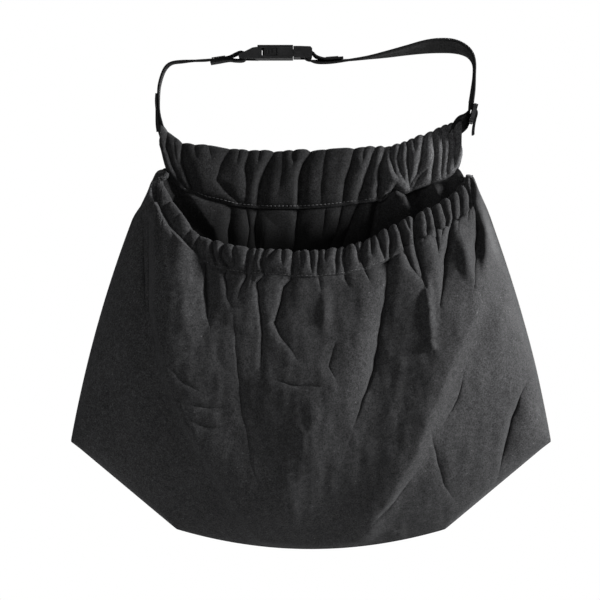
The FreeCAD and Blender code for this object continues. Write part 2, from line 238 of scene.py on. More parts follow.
def canvas(name, tint, mottle=0.72, painted_shade_rear_lift=1.0, left_painted_light=1.0, right_painted_light=1.0, deep_share_painted_shade=1.0):
    """Plain-woven cotton: crossing threads, uneven yarn, faded patches and a few specks of lint.

    mottle is how uneven the yarn's tone is. The rear lift makes the cloth paler where it faces backwards,
    which keeps a dark tint's painted shade off the rear face. The left and right amounts are painted light:
    the cloth is paler towards its left and right ends, where the lamps light it. The deep share is painted
    shade: how much of its tone is left on its front face, well below the waistband, where the inside of the
    pouch is in shadow.
    """
    tree, place = new_material(name)
    uv = tree.add("UVMap").outputs["UV"]
    weave = tree.maths("MULTIPLY", tree.bands(uv, "X", CANVAS_PITCH), tree.bands(uv, "Y", CANVAS_PITCH))
    yarn = tree.noise(place, 900.0, 2.0, 0.7)
    slub = tree.noise(place, 260.0, 3.0, 0.6)
    faded = tree.noise(place, 22.0, 4.0, 0.55)
    lint = tree.noise(place, 520.0, 1.0, 0.4)
    facing = tree.split(tree.add("NewGeometry").outputs["True Normal"])["Y"]
    at = tree.split(place)
    tone = tree.spread(yarn, *NOISE, 1.0 - mottle, 1.0 + mottle)
    tone = tree.scaled(tone, slub, *NOISE, 0.74, 1.26)
    tone = tree.scaled(tone, faded, *NOISE, 0.9, 1.12)
    tone = tree.scaled(tone, weave, -1.0, 1.0, 0.9, 1.1)
    tone = tree.maths("ADD", tone, tree.spread(lint, 0.76, 0.80, 0.0, 1.6))
    # Painted light and shade: paler where the cloth faces backwards and towards its ends, and darker on the
    # front face well below the waistband, where the pouch's inside is in shadow.
    tone = tree.scaled(tone, facing, *REARWARD, 1.0, painted_shade_rear_lift)
    tone = tree.scaled(tone, at["X"], *LEFT_END, left_painted_light, 1.0)
    tone = tree.scaled(tone, at["X"], *RIGHT_END, 1.0, right_painted_light)
    deep = tree.spread(at["Z"], *DEEP_DOWN, deep_share_painted_shade, 1.0)
    rearward = tree.spread(facing, *REARWARD, 0.0, 1.0)
    tone = tree.maths("MULTIPLY", tone, tree.maths("MAXIMUM", deep, rearward))
    tree.look(
        Base_Color=tree.tinted(tone, tint), Roughness=tree.spread(slub, *NOISE, 0.86, 0.98),
        Specular_IOR_Level=0.12, Sheen_Weight=0.05, Sheen_Roughness=0.45, Sheen_Tint=(0.85, 0.87, 0.9, 1.0),
    )
    tree.bump(tree.maths("ADD", tree.maths("MULTIPLY", weave, 0.5), yarn), 0.55, 0.00018)
    return tree.owner


def webbing(name, tint):
    """Flat nylon webbing: ribs across its width, fine yarns along it, a faint scuff."""
    tree, place = new_material(name)
    uv = tree.add("UVMap").outputs["UV"]
    rib, yarn = tree.bands(uv, "Y", 0.0011), tree.bands(uv, "X", 0.0016)
    scuff = tree.noise(place, 140.0, 4.0, 0.6)
    fuzz = tree.noise(place, 1500.0, 1.0, 0.5)
    tone = tree.spread(scuff, 0.3, 0.75, 0.8, 1.35)
    tone = tree.scaled(tone, rib, -1.0, 1.0, 0.88, 1.1)
    tone = tree.scaled(tone, fuzz, *NOISE, 0.9, 1.1)
    rough = tree.spread(scuff, *NOISE, 0.6, 0.78)
    tree.look(Base_Color=tree.tinted(tone, tint), Roughness=rough, Specular_IOR_Level=0.14)
    tree.bump(tree.maths("ADD", tree.maths("MULTIPLY", yarn, 0.4), rib), 0.4, 0.00010)
    return tree.owner


def plastic(name, tint, rough, gloss):
    """Moulded plastic: fine spark texture, handling marks and small scratches."""
    tree, place = new_material(name)
    grain = tree.noise(place, 2600.0, 1.0, 0.5)
    marks = tree.noise(place, 160.0, 5.0, 0.65)
    stretched = tree.add("Mapping", Vector=place, Scale=(120.0, 900.0, 900.0))
    scratch = tree.noise(stretched.outputs["Vector"], 1.0, 2.0, 0.6)
    tone = tree.spread(marks, *NOISE, 0.85, 1.25)
    tone = tree.maths("ADD", tone, tree.spread(scratch, 0.70, 0.76, 0.0, 0.6))
    rough = tree.spread(marks, *NOISE, rough - 0.07, rough + 0.1)
    tree.look(Base_Color=tree.tinted(tone, tint), Roughness=rough, Specular_IOR_Level=gloss)
    tree.bump(grain, 0.3, 0.00005)
    return tree.owner


def thread(name, tint):
    """Twisted sewing thread, a little lighter than the cloth and uneven along its length."""
    tree, place = new_material(name)
    twist = tree.noise(place, 1800.0, 2.0, 0.6)
    wear = tree.noise(place, 90.0, 2.0, 0.5)
    tone = tree.scaled(tree.spread(twist, *NOISE, 0.7, 1.3), wear, *NOISE, 0.8, 1.2)
    tree.look(Base_Color=tree.tinted(tone, tint), Roughness=tree.spread(wear, *NOISE, 0.6, 0.75))
    tree.bump(twist, 0.5, 0.0001)
    return tree.owner


LOOKS = {
    # Painted light: the front cloth is paler towards its left end.
    "canvas_front": canvas("canvas_front_cloth", (0.030, 0.030, 0.031), mottle=0.6, left_painted_light=1.4),
    # Painted shade: the back cloth takes about half the front's tint because it lies in shadow behind the
    # rim and front panel; painted light makes its right end paler.
    "canvas_back": canvas(
        "canvas_back_cloth", (0.015, 0.015, 0.0155), painted_shade_rear_lift=2.0, right_painted_light=1.7, deep_share_painted_shade=0.3,
    ),
    "canvas_rim": canvas("canvas_rim_cloth", (0.029, 0.029, 0.030)),
    # Painted shade: the waistband takes about half the front's tint because it lies in shadow; painted
    # light makes its right end much paler, where the key lamp falls.
    "canvas_band": canvas("canvas_band_cloth", (0.0155, 0.0155, 0.016), painted_shade_rear_lift=1.8, right_painted_light=4.2),
    "elastic": webbing("elastic_tape", (0.03, 0.03, 0.03)),
    "thread": thread("sewing_thread", (0.066, 0.066, 0.068)),
    "webbing": webbing("belt_webbing", (0.0050, 0.0050, 0.0053)),
    "buckle_plastic": plastic("buckle_moulding", (0.0058, 0.0058, 0.0062), 0.40, 0.34),
    "latch_plastic": plastic("latch_moulding", (0.004, 0.004, 0.0044), 0.46, 0.34),
    "slider_plastic": plastic("slider_moulding", (0.018, 0.018, 0.019), 0.26, 0.6),
}


# ---- mesh helpers

CLOTH_WALL, SLEEVE_WALL = 1.1, 0.9


def add_piece(name, mesh, body, slot_name, stands_for=(), thickness=0.0):
    piece = new_object(name, mesh)
    mesh.shade_smooth()
    mesh.materials.append(LOOKS[slot_name])
    if thickness:
        wall = piece.modifiers.new("cloth thickness", "SOLIDIFY")
        wall.thickness = thickness * MM
        wall.offset = -1.0
    if body:
        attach(piece, body)
    if stands_for:
        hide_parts(*stands_for)
    return piece


def grid_mesh(name, points, uv, wrap_rows=False):
    """A mesh from points[row, column], in millimetres, with uv[row, column] in metres."""
    rows, columns = points.shape[:2]
    index = np.arange(rows * columns).reshape(rows, columns)
    if wrap_rows:
        index = np.vstack([index, index[:1]])
        uv = np.vstack([uv, uv[-1:] * 2.0 - uv[-2:-1]])
    faces = np.stack([index[:-1, :-1], index[:-1, 1:], index[1:, 1:], index[1:, :-1]], axis=-1)
    mesh = bpy.data.meshes.new(name)
    mesh.from_pydata((points.reshape(-1, 3) * MM).tolist(), [], faces.reshape(-1, 4).tolist())
    corners = np.stack([uv[:-1, :-1], uv[:-1, 1:], uv[1:, 1:], uv[1:, :-1]], axis=-2)
    mesh.uv_layers.new(name="weave").data.foreach_set("uv", corners.reshape(-1))
    return mesh


def tube_mesh(name, points, uv):
    """A grid mesh whose rows go round a tube, with its two ends capped."""
    mesh = grid_mesh(name, points, uv, wrap_rows=True)
    rows, columns = points.shape[:2]
    shell = bmesh.new()
    shell.from_mesh(mesh)
    shell.verts.ensure_lookup_table()
    for column in (0, columns - 1):
        shell.faces.new([shell.verts[row * columns + column] for row in range(rows)])
    bmesh.ops.recalc_face_normals(shell, faces=shell.faces)
    shell.to_mesh(mesh)
    shell.free()
    return mesh


def grid_uv(across, along):
    return np.stack(np.broadcast_arrays(across, along), axis=-1)


def once_round(count):
    """Angles round a tube, one row for each."""
    return np.linspace(0.0, 2 * math.pi, count, endpoint=False)[:, None]


def boxy(wave, power):
    """A sine or cosine made squarer by a power under 1."""
    return np.sign(wave) * np.abs(wave) ** power


def length_along(path):
    """The length of the path from its start to each of its points."""
    return np.concatenate([[0.0], np.cumsum(np.linalg.norm(np.diff(path, axis=0), axis=1))])


def smooth(low, high, value):
    t = np.clip((value - low) / (high - low), 0.0, 1.0)
    return t * t * (3.0 - 2.0 * t)


def curve_through(points, at):
    """Heights of a smooth curve through (x, height) points, at the given x."""
    xs, ys = np.array(points, dtype=float).T
    slopes = np.gradient(ys, xs)
    i = np.clip(np.searchsorted(xs, at) - 1, 0, len(xs) - 2)
    span = xs[i + 1] - xs[i]
    t = np.clip((at - xs[i]) / span, 0.0, 1.0)
    h00, h10 = 2 * t ** 3 - 3 * t ** 2 + 1, t ** 3 - 2 * t ** 2 + t
    h01, h11 = 3 * t ** 2 - 2 * t ** 3, t ** 3 - t ** 2
    return h00 * ys[i] + h10 * span * slopes[i] + h01 * ys[i + 1] + h11 * span * slopes[i + 1]


def spline_points(control, per_span):
    """Points on a smooth curve through control points of any dimension."""
    control = np.asarray(control, dtype=float)
    padded = np.vstack([2 * control[0] - control[1], control, 2 * control[-1] - control[-2]])
    out = []
    for k in range(1, len(padded) - 2):
        p0, p1, p2, p3 = padded[k - 1: k + 3]
        slope, bend, twist = p2 - p0, 2 * p0 - 5 * p1 + 4 * p2 - p3, 3 * p1 - p0 - 3 * p2 + p3
        for t in np.linspace(0.0, 1.0, per_span, endpoint=False):
            out.append(0.5 * (2 * p1 + slope * t + bend * t ** 2 + twist * t ** 3))
    out.append(control[-1])
    return np.array(out)


def ripple(x, z, seed, size):
    """A soft uneven field, about -1 to 1, made of a few slanted waves."""
    rng = np.random.RandomState(seed)
    total = np.zeros_like(x)
    for _ in range(9):
        angle, phase = rng.uniform(0, math.pi), rng.uniform(0, 2 * math.pi)
        length = size * rng.uniform(0.6, 1.7)
        total += np.sin((x * math.cos(angle) + z * math.sin(angle)) * 2 * math.pi / length + phase)
    return total / 4.0


def hold_depth(height, deepest):
    """Lets valleys flatten out towards the deepest they may be."""
    return np.where(height < 0.0, deepest * np.tanh(height / deepest), height)


def nearest_on(path, px, pz):
    """How far from a path, positive towards +X of one that runs down, and how far along it, as a share."""
    lengths = np.hypot(*np.diff(path, axis=0).T)
    starts = np.concatenate([[0.0], np.cumsum(lengths)])
    nearest = np.full(px.shape, 1e9)
    signed, along = np.zeros_like(px), np.zeros_like(px)
    for k in range(len(path) - 1):
        step = (path[k + 1] - path[k]) / lengths[k]
        dx, dz = px - path[k, 0], pz - path[k, 1]
        t = np.clip(dx * step[0] + dz * step[1], 0.0, lengths[k])
        away = np.hypot(dx - t * step[0], dz - t * step[1])
        side = np.sign(dx * step[1] - dz * step[0])
        closer = away < nearest
        nearest = np.where(closer, away, nearest)
        signed = np.where(closer, -side * away, signed)
        along = np.where(closer, starts[k] + t, along)
    return signed, along / starts[-1]


def decay(signed, rounding, lift, reach):
    """Falls off from a rounded tip, by a factor of e over each reach."""
    return np.exp(-(np.sqrt(signed ** 2 + rounding) - lift) / reach)


def fold_heights(x, z, folds, slit_share=0.3):
    """Adds up the listed folds over the cloth's face, as heights towards the viewer.

    Each fold is its reach to the left and right, its height, the shares of that left at its start and end,
    and its (x, z) points. A negative height is a valley with a tight floor, and a positive one is a soft
    ridge. slit_share is how much of a valley's height is added again as a thin dark slit along its floor.
    """
    warp_x = x + 0.45 * ripple(x, z, 91, 26.0)
    warp_z = z + 0.8 * ripple(x, z, 92, 26.0)
    total = np.zeros_like(x)
    for reach_left, reach_right, height, at_start, at_end, *points in folds:
        path = np.array(points, dtype=float)
        room = 5.5 * max(reach_left, reach_right)
        low, high = path.min(axis=0) - room, path.max(axis=0) + room
        near = (warp_x > low[0]) & (warp_x < high[0]) & (warp_z > low[1]) & (warp_z < high[1])
        signed, share = nearest_on(path, warp_x[near], warp_z[near])
        strength = at_start + (1.0 - at_start) * smooth(0.0, 0.35, share)
        strength *= at_end + (1.0 - at_end) * smooth(0.0, 0.45, 1.0 - share)
        reach = np.where(signed < 0, reach_left, reach_right)
        if height < 0:
            shape = 0.45 * decay(signed, 0.3, 0.55, 0.8 * reach)
            shape += 0.35 * np.exp(-(signed / (1.5 * reach)) ** 2)
            shape += slit_share * decay(signed, 0.12, 0.35, 0.75)
        else:
            shape = 0.3 * decay(signed, 0.5, 0.7, 0.9 * reach) + 0.7 * np.exp(-(signed / reach) ** 2)
        total[near] += height * shape * strength
    return total


# ---- the pouch's outline

BACK_LOW, BACK_HIGH = cad_mm("back_panel")
WIDE = BACK_HIGH[0]
BOTTOM = BACK_LOW[2]
SIDE_TOP, SIDE_MID, SIDE_LOW = (130.0, 1.2), (165.5, -96.0), (WIDE, -211.0)
CORNER_LOW = (108.0, -282.0)
ARC_SHARE = 0.46  # the bottom arc's share of the lower outline, and the slanted corners have the rest


def circle_through(a, b, c):
    (ax, az), (bx, bz), (cx, cz) = a, b, c
    d = 2.0 * (ax * (bz - cz) + bx * (cz - az) + cx * (az - bz))
    a2, b2, c2 = ax * ax + az * az, bx * bx + bz * bz, cx * cx + cz * cz
    x = (a2 * (bz - cz) + b2 * (cz - az) + c2 * (az - bz)) / d
    z = (a2 * (cx - bx) + b2 * (ax - cx) + c2 * (bx - ax)) / d
    return x, z, math.hypot(ax - x, az - z)


SIDE_X, SIDE_Z, SIDE_R = circle_through(SIDE_TOP, SIDE_MID, SIDE_LOW)


def side_reach(z):
    """Half the pouch's width between its top corners and its lower ones."""
    return SIDE_X + np.sqrt(np.maximum(SIDE_R ** 2 - (z - SIDE_Z) ** 2, 0.0))


def side_edge(z):
    """The cloth's side edge: the arc, drawn in a little under the ends of the rim."""
    return side_reach(z) - 4.0 * smooth(-32.0, -10.0, z)


def half_width(z):
    z = np.asarray(z, dtype=float)
    slant = SIDE_LOW[0] + (CORNER_LOW[0] - SIDE_LOW[0]) * (SIDE_LOW[1] - z) / (SIDE_LOW[1] - CORNER_LOW[1])
    foot = CORNER_LOW[0] * np.sqrt(np.clip((z - BOTTOM) / (CORNER_LOW[1] - BOTTOM), 0.0, 1.0))
    low = np.where(z > CORNER_LOW[1], slant, foot)
    return np.maximum(np.where(z > SIDE_LOW[1], side_edge(z), low), 0.5)


def bottom_edge(u):
    """The lower outline at u from -1 to 1: a slanted corner, the bottom arc and the other corner."""
    x_in = np.clip(u / ARC_SHARE, -1.0, 1.0) * CORNER_LOW[0]
    z_in = BOTTOM + (CORNER_LOW[1] - BOTTOM) * (x_in / CORNER_LOW[0]) ** 2
    t = np.clip((np.abs(u) - ARC_SHARE) / (1.0 - ARC_SHARE), 0.0, 1.0)
    x = x_in + np.sign(u) * t * (SIDE_LOW[0] - CORNER_LOW[0])
    return x, z_in + t * (SIDE_LOW[1] - CORNER_LOW[1])


CLOTH_TOP = (float(side_edge(-9.0)), -9.0)


def patch(top_x, top_z, u, v):
    """(x, z) over the pouch's face: the top edge at v 0, the outline at v 1 and at u -1 and 1."""
    low_x, low_z = bottom_edge(u)
    x = top_x * (1 - v) + low_x * v
    z = top_z * (1 - v) + low_z * v
    z_side = CLOTH_TOP[1] + (SIDE_LOW[1] - CLOTH_TOP[1]) * v
    straight = CLOTH_TOP[0] + (SIDE_LOW[0] - CLOTH_TOP[0]) * v
    bow = (side_edge(z_side) - straight) * np.abs(u) ** 3
    x = x + np.sign(u) * bow
    snap = np.abs(u) ** 24 * smooth(0.0, 0.12, v)
    return x + np.sign(u) * (half_width(z) - np.abs(x)) * snap, z


def on_seam(u, v):
    """1 on the panel's side and bottom edges, and about 0 a few millimetres inside them."""
    away = np.minimum((1.0 - np.abs(u)) * WIDE, (1.0 - v) * (CLOTH_TOP[1] - BOTTOM))
    return np.exp(-(away / 2.2) ** 2)


# ---- gathered rim of the mouth

RIM_FRONT, RIM_END_Y = -60.0, -9.0  # the Y of the mouth's front and of its two ends
RIM_R, RIM_BOW = 139.0, 0.567  # the mouth's curve seen from above, and its share of a circle's depth
RIM_DEEP = 5.2
RIM_SLIT = 0.7
RIM_EDGES = [
    # (x, z) of the casing's top edge, then (x, z) of its stitch line
    (-115, 7, -122, 3.2), (-117.8, 4, -128, -1.2), (-119, -0.5, -130.4, -8), (-118.6, -5, -129.2, -15),
    (-116, -9.5, -125.4, -22), (-111.5, -17, -120, -31.5), (-107, -23.5, -114.5, -40),
    (-101.8, -30, -107.5, -48.5), (-94.2, -41, -98, -58.5), (-85.2, -47.5, -86, -66.5),
    (-77.6, -49.5, -78, -71), (-68.8, -52.3, -68.8, -74.5), (-56, -55, -55, -76.5),
    (-40, -56.5, -38, -77.8), (-20.8, -57.5, -19, -79.5), (0, -58, 0, -80.4), (15, -57, 16, -79),
    (30, -53.8, 32, -76.5), (43, -49.8, 47, -72.5), (55.2, -43, 60.5, -66.5), (66.4, -37.3, 73, -60),
    (79.2, -31.3, 86.5, -54), (93.6, -24.6, 101, -46.5), (103.2, -19.6, 112, -41),
    (113, -13, 123, -33.5), (117.5, -8.8, 129.6, -26), (120.6, -5.6, 133, -18),
    (123.2, -2.2, 133.8, -10), (125.4, 1.2, 133, -3), (126.4, 4.4, 130.4, 3),
]
RIM_FOLDS = [
    # the slack left arm
    (1.6, 1.6, -1.8, 1, 0.6, (-123, -12), (-122.6, -23)),
    (1.6, 2.4, -1.5, 0.8, 0.8, (-121, -28), (-114, -39), (-109.6, -46)),
    (2.2, 2.2, -1, 1, 0.3, (-111, -17), (-116, -27)),
    (2.2, 2.6, -1.1, 1, 0.3, (-104, -30), (-109, -41)),
    (2, 2.4, -1.2, 1, 0.4, (-96, -42), (-99, -54)),
    (1.8, 2.2, -1.6, 0.8, 0.8, (-88.5, -46), (-90, -58), (-85.5, -68)),
    # gathers, from left to right; the longer ones carry on into the panel
    (1.7, 2.6, -3.6, 1, 0.8, (-78.5, -48), (-76.8, -60), (-74.5, -69)),
    (1.8, 4.2, -6.5, 0.7, 0.1, (-84.2, -69), (-83.4, -92), (-81, -117)),
    (1.8, 2.6, -3.2, 1, 0.2, (-68.8, -52), (-70.6, -63), (-65, -71), (-68.6, -78), (-66.4, -86),
     (-66, -96), (-63.5, -102)),
    (1.5, 1.7, -1.4, 1, 0.3, (-60.5, -54), (-59.5, -68), (-61, -78)),
    (1.7, 2.5, -3.6, 1, 0.1, (-48, -55), (-50.6, -75), (-51.4, -80), (-58, -96)),
    (1.7, 3, -3.2, 1, 0.1, (-37, -57), (-38.4, -67), (-36.6, -77), (-42.6, -84), (-41, -100),
     (-38.4, -125), (-39.5, -162)),
    (1.4, 1.8, -1.6, 1, 0.2, (-43, -56), (-43.5, -66), (-46, -78), (-48, -88)),
    (1.5, 1.6, -2, 1, 0.2, (-28.5, -57), (-34, -66)),
    (1.4, 1.6, -1.4, 1, 0.2, (-22.3, -57), (-22, -71)),
    (2, 4.4, -4, 1, 0.1, (-13.6, -57), (-14.6, -79), (-22, -87), (-24.4, -101), (-28.6, -115),
     (-24, -127), (-12, -143)),
    (1.3, 1.5, -1.2, 1, 0.2, (-8, -58), (-7.4, -72)),
    (1.6, 2, -2.2, 1, 0.4, (-1, -58), (0.8, -77)),
    (1.6, 2.2, -2.2, 1, 0.2, (6.4, -58), (5.2, -78), (8, -90)),
    (1.4, 1.5, -1.7, 1, 0.2, (12, -57), (11.2, -68)),
    (1.7, 2.2, -2.6, 1, 0.4, (21.4, -55), (20, -67), (19, -77)),
    (1.7, 2.5, -3.6, 1, 0.2, (27.2, -53), (25.6, -66), (26.6, -77), (30, -86)),
    (1.7, 2.2, -2.8, 1, 0.3, (34.4, -52), (36.8, -60), (37.6, -73)),
    (1.7, 2.5, -3.6, 1, 0.2, (41.6, -49), (38.8, -62), (41, -72), (45.5, -81)),
    (1.4, 1.5, -2.2, 1, 0.2, (48, -46), (47, -62)),
    (1.7, 2.2, -3.6, 1, 0.4, (52, -44), (55.5, -57), (58.2, -67)),
    (1.7, 2.5, -4.2, 1, 0.9, (60.8, -39), (62.6, -52), (61.6, -66)),
    (2.2, 4, -6.5, 1, 0.2, (68.4, -36), (72, -52), (74.8, -60), (79, -70), (86, -79)),
    (1.5, 1.8, -2, 1, 0.2, (75, -33), (77.5, -45)),
    (2.2, 6, -9.5, 1, 0.3, (81.6, -30), (81.4, -49), (84, -62), (88, -75), (90.5, -86)),
    (1.5, 1.9, -2, 1, 0.1, (89, -27), (90, -40), (90, -52)),
    (2.2, 5, -8, 1, 0.1, (95.6, -23), (96.8, -38), (99.6, -49), (101.5, -64)),
    (1.8, 2.4, -3.6, 1, 0.1, (102.6, -19), (104.6, -36), (103.5, -52)),
    (2.6, 8.5, -11, 0.6, 0.1, (109.6, -15), (112, -33), (109.6, -49), (106, -68), (102.5, -102)),
    (1.6, 2.4, -3.2, 0.7, 0.1, (116.4, -8), (118.6, -27), (117.4, -42)),
    (1.5, 2.2, -2.4, 0.5, 0.1, (123, 0), (126.2, -15.6), (125.4, -38)),
    (1.3, 1.6, -1.2, 0.6, 0.3, (129, 0), (130.6, -14)),
]


def rim_frames(u):
    """Centre line, half height, way down and way out of the casing, at u from -1 to 1 round the mouth."""
    place = (u + 1.0) / 2.0 * (len(RIM_EDGES) - 1)
    edges = spline_points(RIM_EDGES, 12)
    at = np.linspace(0.0, len(RIM_EDGES) - 1, len(edges))
    top_x, top_z, low_x, low_z = (np.interp(place, at, column) for column in edges.T)
    x = (top_x + low_x) / 2.0
    y = RIM_FRONT + RIM_BOW * RIM_R * (1.0 - np.sqrt(np.maximum(1.0 - (x / RIM_R) ** 2, 0.04)))
    y += (RIM_END_Y - y) * smooth(0.45, 0.95, np.abs(u))
    lean = 3.0 * np.maximum(1.0 - (x / RIM_R) ** 2, 0.0)
    top = np.stack([top_x, y + lean, top_z], axis=-1)
    low = np.stack([low_x, y - lean, low_z], axis=-1)
    centre = (top + low) / 2.0
    half = np.linalg.norm(low - top, axis=1) / 2.0
    down = (low - top) / (2.0 * half)[:, None]
    out = np.cross(down, np.gradient(centre, axis=0))
    out /= np.linalg.norm(out, axis=1)[:, None]
    return centre, half, down, out


def rim_height(points):
    """The gathers' height at points over the rim or the cloth under it."""
    return fold_heights(points[..., 0], points[..., 2], RIM_FOLDS, RIM_SLIT)


def rim_level(x):
    """The gathers' average depth along the rim, taken off so that they puff out as much as they sink."""
    centre = rim_frames(np.linspace(-1.0, 1.0, 700))[0]
    span = 39
    padded = np.pad(rim_height(centre), span, mode="edge")
    level = np.convolve(padded, np.hanning(2 * span + 1) / span, mode="same")[span:-span]
    order = np.argsort(centre[:, 0])
    return np.interp(x, centre[order, 0], level[order])


def flush_share(x):
    """On the right, and along the slack left arm, the casing runs into the panel with no step."""
    return smooth(52.0, 82.0, x) + smooth(84.0, 100.0, -x)


def rim_cloth():
    columns, rows = 1100, 56
    u = np.linspace(-1.0, 1.0, columns)
    centre, half, down, out = rim_frames(u)
    turn = once_round(rows)
    ends = np.sqrt(np.maximum(1.0 - np.clip((np.abs(u) - 0.965) / 0.035, 0.0, 1.0) ** 2, 0.02))[None, :]
    tall = half[None, :] * boxy(np.cos(turn), 0.9) * ends
    flat = centre[None] + down[None] * tall[..., None]
    height = (rim_height(flat) - rim_level(flat[..., 0])) * 1.15 - 1.0
    low_edge = 0.5 + 0.5 * np.cos(turn)  # 1 at the stitch line, 0 at the top edge
    flush = flush_share(centre[:, 0])[None, :]
    pinch = 1.0 - 0.45 * (1.0 - 0.85 * flush) * low_edge ** 6
    height = (height + 1.1) * pinch * ends + 0.22 * ripple(flat[..., 0], flat[..., 2], 41, 7.0)
    round_off = 0.8 - 0.68 * flush * smooth(0.0, 0.3, np.cos(turn))
    front = np.abs(np.sin(turn)) ** round_off * (RIM_DEEP + hold_depth(height, 4.2))
    rear = -np.abs(np.sin(turn)) ** 0.8 * (RIM_DEEP + np.clip(height * 0.5, -1.5, 1.5))
    deep = np.where(np.sin(turn) > 0, front, rear) * ends
    crest = (1.0 - low_edge) ** 5
    points = flat + out[None] * deep[..., None] - down[None] * (height * 0.45 * crest)[..., None]
    uv = grid_uv(length_along(centre)[None, :] * MM * 1.5, turn * 0.009)
    mesh = tube_mesh("rim_gathers", points[:, ::-1], uv[:, ::-1])
    piece = add_piece("rim_gathers", mesh, "pouch", "canvas_rim", ("rim_casing",), SLEEVE_WALL)


def tape_section(rows, half_wide, half_thick):
    """The angles, widths and depths of a flat tape's section."""
    turn = once_round(rows)
    return turn, half_wide * boxy(np.cos(turn), 0.3), half_thick * boxy(np.sin(turn), 0.5)


def rim_tape():
    """The flat elastic inside the rim casing."""
    centre, half, down, out = rim_frames(np.linspace(-0.93, 0.93, 500))
    turn, wide, deep = tape_section(20, 5.6, 0.6)
    middle = centre - down * 1.0 - out * 0.4
    points = middle[None] + down[None] * wide[..., None] + out[None] * deep[..., None]
    uv = grid_uv(turn * 0.004, length_along(centre)[None, :] * MM)
    mesh = tube_mesh("rim_tape", points[:, ::-1], uv[:, ::-1])
    add_piece("rim_tape", mesh, "pouch", "elastic", ("rim_elastic",))


# ---- front of the pouch

BULGE, BULGE_Z = 74.0, -161.0  # how far the front stands out, and the height where it is fullest
SEAM_Y = -2.3


def seam_y(x, z):
    """Where the two panels meet along the side seams: a little forward at the ends of the mouth."""
    return -1.7 - 4.0 * smooth(108.0, 122.0, np.abs(x)) * np.exp(-((z + 5.0) / 20.0) ** 2)


def meet(a, b):
    """The smaller of two shares from 0 to 1, rounded where they cross and 1 where both are 1."""
    return (a + b - np.sqrt(a * a + b * b)) / (2.0 - math.sqrt(2.0))


def front_depth(x, z):
    """How far the front stands off the back: nothing at the sides, the slanted corners and the bottom."""
    side = np.clip(1.0 - np.abs(x) / np.maximum(side_reach(z), 1.0), 0.0, 1.0)
    run, rise = CORNER_LOW[0] - SIDE_LOW[0], CORNER_LOW[1] - SIDE_LOW[1]
    slant = ((np.abs(x) - SIDE_LOW[0]) * rise - (z - SIDE_LOW[1]) * run) / math.hypot(run, rise)
    slant = 1.0 - (1.0 - np.clip(slant / 162.0, 0.0, 1.0)) ** 1.3
    foot = BOTTOM + (CORNER_LOW[1] - BOTTOM) * (np.abs(x) / CORNER_LOW[0]) ** 2
    foot = np.clip((z - foot) / (BULGE_Z - BOTTOM), 0.0, 1.0)
    high = np.clip((z - BULGE_Z) / (SIDE_TOP[1] - BULGE_Z), 0.0, 1.2)
    share = meet(meet(side, slant), foot)
    return BULGE * (1.0 - 0.36 * high ** 1.3) * (1.0 - (1.0 - np.clip(share, 0.0, 1.0)) ** 1.6)


